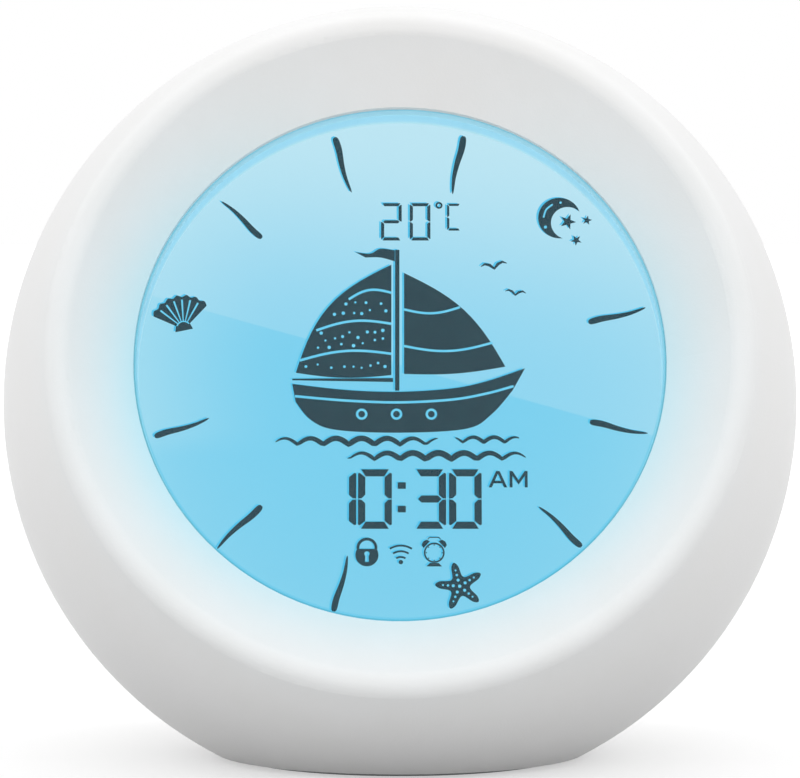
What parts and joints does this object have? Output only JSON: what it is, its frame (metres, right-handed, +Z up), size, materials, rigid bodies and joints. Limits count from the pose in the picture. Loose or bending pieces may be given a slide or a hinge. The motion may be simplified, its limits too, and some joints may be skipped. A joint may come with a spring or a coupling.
{
  "type": "ball alarm clock",
  "caption": "Ball-shaped bedside alarm clock with a night light: a tilted dish round a sunken round display, and sprung keys and a speaker on the back.",
  "frame": {"origin": "on the table, under the centre of the ball, at the underside of the foot ring", "axes": "+Z up, -Y out of the front (the face leans back from -Y), +X to the right as seen from the front"},
  "size_m": [0.14, 0.1049, 0.1326],
  "materials": {
    "milky_shell": "satin milky white, lets the night light through",
    "rear_white": "fine satin white",
    "key_plastic": "satin pale grey-blue",
    "window_clear": "polished clear acrylic",
    "frame_white": "satin white, lit cyan by the backlight",
    "lcd_glass": "backlit liquid crystal panel, cyan",
    "sheet_white": "matt white film",
    "guide_clear": "clear moulded acrylic with a dotted back",
    "led_body": "moulded, with a yellow resin face",
    "board_green": "green solder resist",
    "board_white": "white solder resist",
    "chip_black": "moulded black epoxy",
    "tin_steel": "tin-plated sheet",
    "screw_steel": "bright zinc",
    "plug_ivory": "ivory nylon",
    "soft_grey": "soft grey silicone",
    "tape_black": "double-sided foam tape",
    "basket_steel": "pressed steel, black",
    "cone_paper": "pressed black paper",
    "magnet_grey": "ferrite with a zinc yoke",
    "cell_steel": "bright nickel",
    "contact_gold": "gold-plated spring sheet",
    "ribbon_grey": "grey flat cable",
    "lead_red": "PVC-covered lead"
  },
  "bodies": {
    "clock": {"front_shell": "milky_shell", "rear_shell": "milky_shell", "base_cover": "milky_shell", "rear_panel": "rear_white", "speaker_grille": "rear_white", "display_lens": "window_clear", "display_frame": "frame_white", "lcd_panel": "lcd_glass", "diffuser_sheet": "sheet_white", "reflector_sheet": "sheet_white", "light_guide": "guide_clear", "backlight_leds": "led_body", "light_leds": "led_body", "main_board": "board_green", "key_board": "board_green", "light_board": "board_white", "controller": "chip_black", "switch_bodies": "chip_black", "temperature_sensor": "chip_black", "radio_module": "tin_steel", "usb_socket": "tin_steel", "shell_screws": "screw_steel", "board_screws": "screw_steel", "display_screws": "screw_steel", "panel_screws": "screw_steel", "clamp_screws": "screw_steel", "key_board_screws": "screw_steel", "base_screws": "screw_steel", "board_plugs": "plug_ivory", "foot_ring": "soft_grey", "zebra_strip": "soft_grey", "lens_tape": "tape_black", "speaker_basket": "basket_steel", "speaker_clamp": "basket_steel", "speaker_cone": "cone_paper", "speaker_magnet": "magnet_grey", "backup_cell": "cell_steel", "cell_plate": "contact_gold", "cell_spring": "contact_gold", "ribbon_cable": "ribbon_grey", "speaker_leads": "lead_red", "light_leads": "lead_red", "cell_leads": "lead_red"},
    "key_body_1": {"key_1": "key_plastic", "plunger_1": "plug_ivory"},
    "key_body_2": {"key_2": "key_plastic", "plunger_2": "plug_ivory"},
    "key_body_3": {"key_3": "key_plastic", "plunger_3": "plug_ivory"},
    "key_body_4": {"key_4": "key_plastic", "plunger_4": "plug_ivory"},
    "key_body_5": {"key_5": "key_plastic", "plunger_5": "plug_ivory"},
    "key_body_6": {"key_6": "key_plastic", "plunger_6": "plug_ivory"},
    "door_body": {"cell_door": "milky_shell", "door_screw": "screw_steel"}
  },
  "joints": [
    {"name": "key_press_1", "type": "slide", "parent": "clock", "child": "key_body_1", "axis": [0, -1, 0], "range_m": [0, 0.0008], "stiffness_N_per_m": 1200, "springref_m": -0.0003},
    {"name": "key_press_2", "type": "slide", "parent": "clock", "child": "key_body_2", "axis": [0, -1, 0], "range_m": [0, 0.0008], "stiffness_N_per_m": 1200, "springref_m": -0.0003},
    {"name": "key_press_3", "type": "slide", "parent": "clock", "child": "key_body_3", "axis": [0, -1, 0], "range_m": [0, 0.0008], "stiffness_N_per_m": 1200, "springref_m": -0.0003},
    {"name": "key_press_4", "type": "slide", "parent": "clock", "child": "key_body_4", "axis": [0, -1, 0], "range_m": [0, 0.0008], "stiffness_N_per_m": 1200, "springref_m": -0.0003},
    {"name": "key_press_5", "type": "slide", "parent": "clock", "child": "key_body_5", "axis": [0, -1, 0], "range_m": [0, 0.0008], "stiffness_N_per_m": 1200, "springref_m": -0.0003},
    {"name": "key_press_6", "type": "slide", "parent": "clock", "child": "key_body_6", "axis": [0, -1, 0], "range_m": [0, 0.0008], "stiffness_N_per_m": 1200, "springref_m": -0.0003},
    {"name": "cell_door_lift", "type": "slide", "parent": "clock", "child": "door_body", "axis": [0, 0, -1], "range_m": [0, 0.012]}
  ]
}
